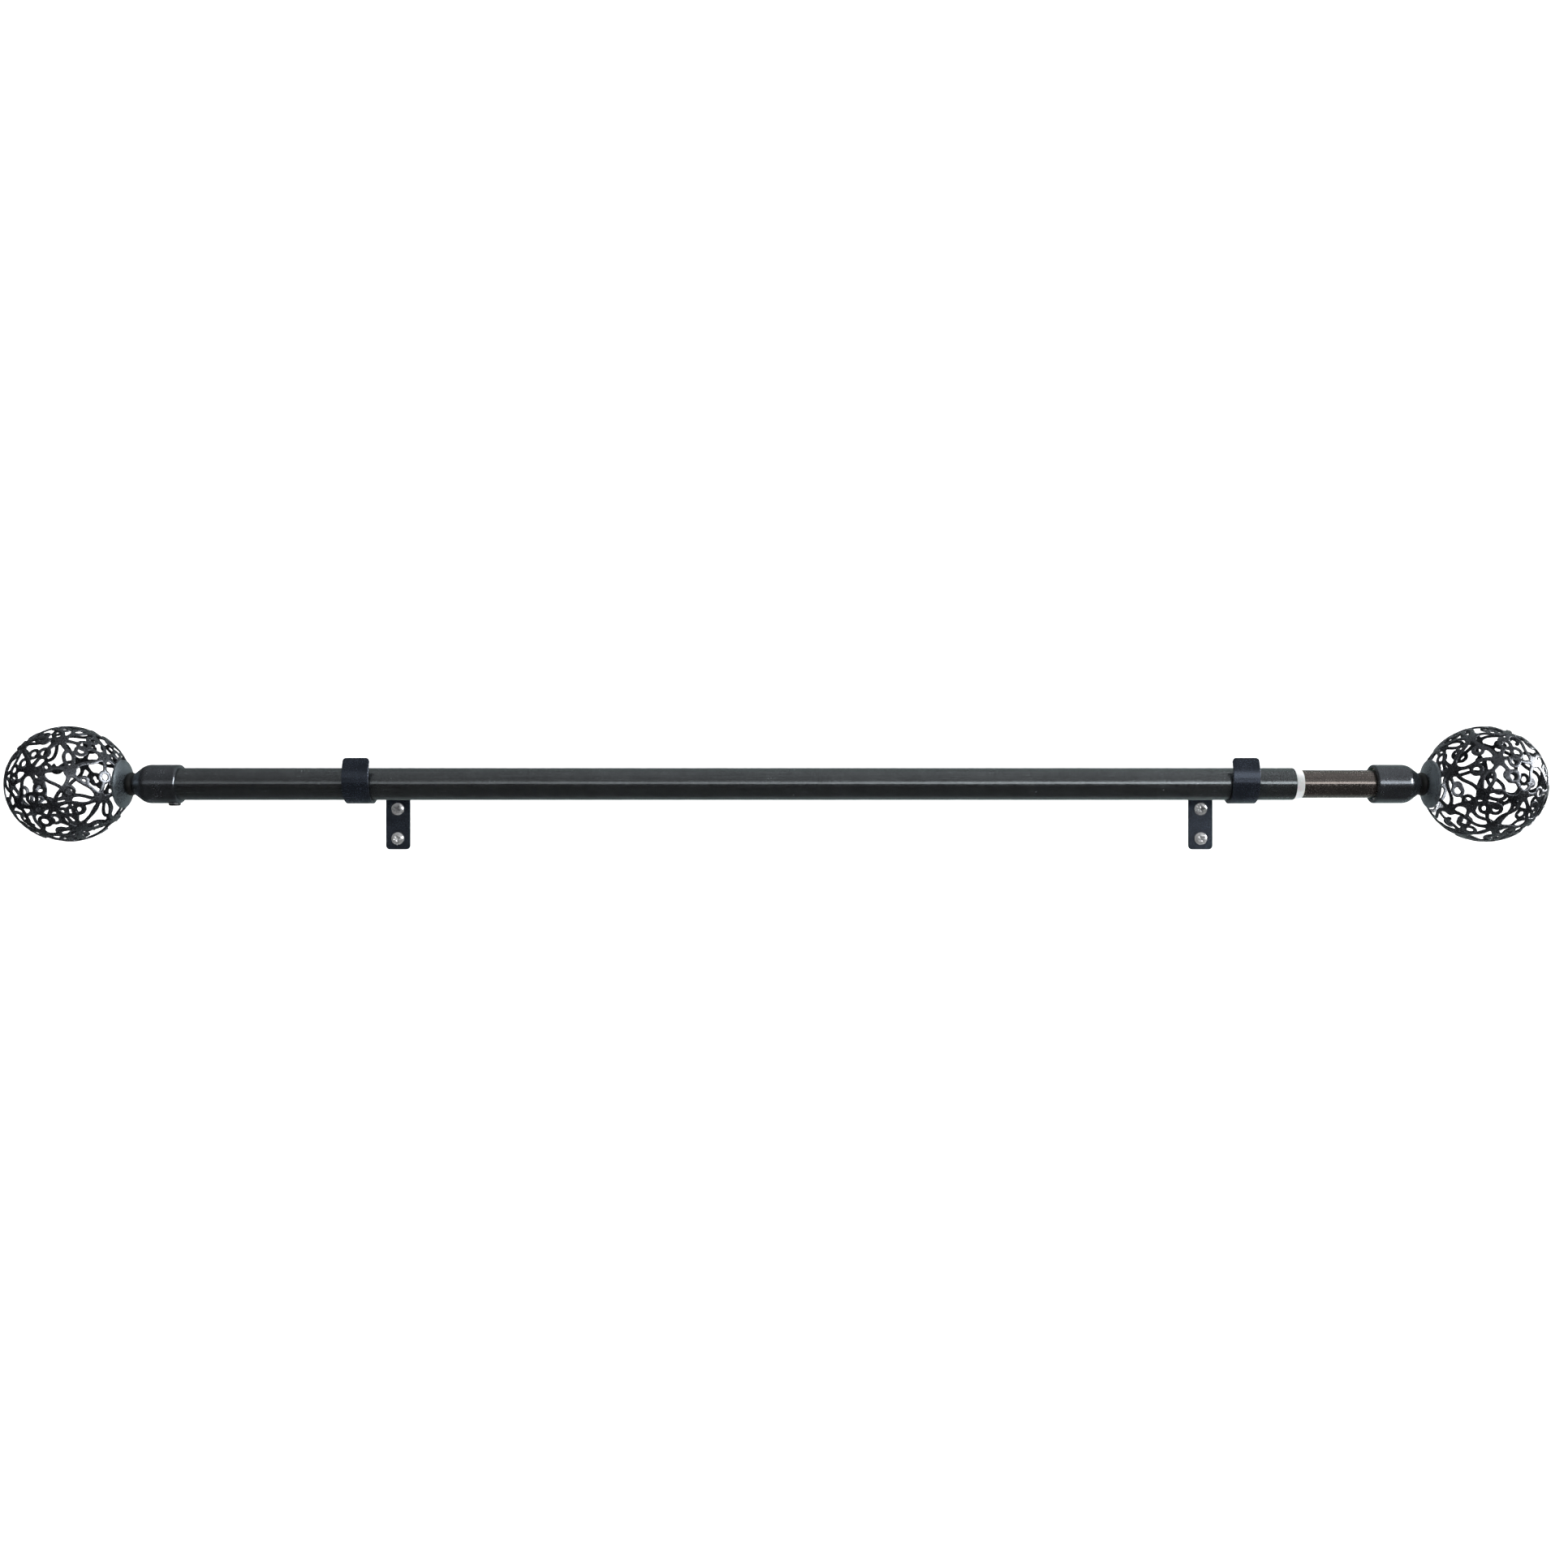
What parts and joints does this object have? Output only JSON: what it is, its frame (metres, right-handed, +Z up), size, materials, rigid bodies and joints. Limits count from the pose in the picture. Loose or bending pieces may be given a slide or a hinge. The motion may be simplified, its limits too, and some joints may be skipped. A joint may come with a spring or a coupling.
{
  "type": "curtain rod with brackets",
  "caption": "Telescopic round curtain rod in dark metal with openwork ball finials, resting in bent-strip wall brackets with open cradles.",
  "frame": {"origin": "on the wall, midway between the two screws of the left bracket", "axes": "+X along the rod from the left bracket to the right one, +Y into the wall, +Z up; the rod is at -Y, in front of the wall"},
  "size_m": [1.044, 0.1605, 0.0885],
  "materials": {
    "tube_gunmetal": "satin, fine hammered speckle",
    "inner_tube_gunmetal": "satin, fine speckle",
    "ferrule_gunmetal": "satin, fine speckle",
    "bracket_black": "satin black powder coat",
    "lace_charcoal": "satin, worn silver on the edges",
    "cup_slate": "satin slate grey",
    "bead_black": "semi-gloss black",
    "pale_plastic": "translucent natural plastic",
    "bright_zinc": "bright zinc plating",
    "dark_steel": "black zinc plating"
  },
  "bodies": {
    "left_bracket": {"left_bracket": "bracket_black", "left_bracket_screws": "bright_zinc"},
    "right_bracket": {"right_bracket": "bracket_black", "right_bracket_screws": "bright_zinc"},
    "outer_tube": {"outer_tube": "tube_gunmetal", "glide_collar": "pale_plastic"},
    "inner_tube": {"inner_tube": "inner_tube_gunmetal", "inner_end_plug": "pale_plastic"},
    "left_end_cap": {"left_ferrule": "ferrule_gunmetal"},
    "left_clamp_screw": {"left_clamp_screw": "dark_steel"},
    "left_finial": {"left_neck_bead": "bead_black", "left_cup": "cup_slate", "left_finial_stud": "bright_zinc", "left_stud_nut": "bright_zinc", "left_ball_inner_half": "lace_charcoal", "left_ball_outer_half": "lace_charcoal"},
    "right_end_cap": {"right_ferrule": "ferrule_gunmetal", "reducer_bush": "pale_plastic"},
    "right_clamp_screw": {"right_clamp_screw": "dark_steel"},
    "right_finial": {"right_neck_bead": "bead_black", "right_cup": "cup_slate", "right_finial_stud": "bright_zinc", "right_stud_nut": "bright_zinc", "right_ball_inner_half": "lace_charcoal", "right_ball_outer_half": "lace_charcoal"}
  },
  "joints": [
    {"name": "bracket_spacing", "type": "slide", "parent": "left_bracket", "child": "right_bracket", "axis": [1, 0, 0], "range_m": [-0.55, 0.025]},
    {"name": "rod_lift", "type": "slide", "parent": "left_bracket", "child": "outer_tube", "axis": [0, 0.155, 0.9879], "range_m": [0, 0.035]},
    {"name": "telescope", "type": "slide", "parent": "outer_tube", "child": "inner_tube", "axis": [1, 0, 0], "range_m": [-0.045, 0.55]},
    {"name": "left_cap_pull", "type": "slide", "parent": "outer_tube", "child": "left_end_cap", "axis": [-1, 0, 0], "range_m": [0, 0.03]},
    {"name": "left_clamp_turn", "type": "hinge", "parent": "left_end_cap", "child": "left_clamp_screw", "pos_m": [-0.1268, -0.098, 0.0165], "axis": [0, 0, -1], "range_deg": [0, 1080]},
    {"name": "left_finial_turn", "type": "hinge", "parent": "left_end_cap", "child": "left_finial", "pos_m": [-0.199, -0.098, 0.0297], "axis": [-1, 0, 0], "continuous": true},
    {"name": "right_cap_pull", "type": "slide", "parent": "inner_tube", "child": "right_end_cap", "axis": [1, 0, 0], "range_m": [0, 0.03]},
    {"name": "right_clamp_turn", "type": "hinge", "parent": "right_end_cap", "child": "right_clamp_screw", "pos_m": [0.6938, -0.0856, 0.02519], "axis": [0, 0.9397, -0.342], "range_deg": [0, 1080]},
    {"name": "right_finial_turn", "type": "hinge", "parent": "right_end_cap", "child": "right_finial", "pos_m": [0.766, -0.098, 0.0297], "axis": [1, 0, 0], "continuous": true}
  ]
}
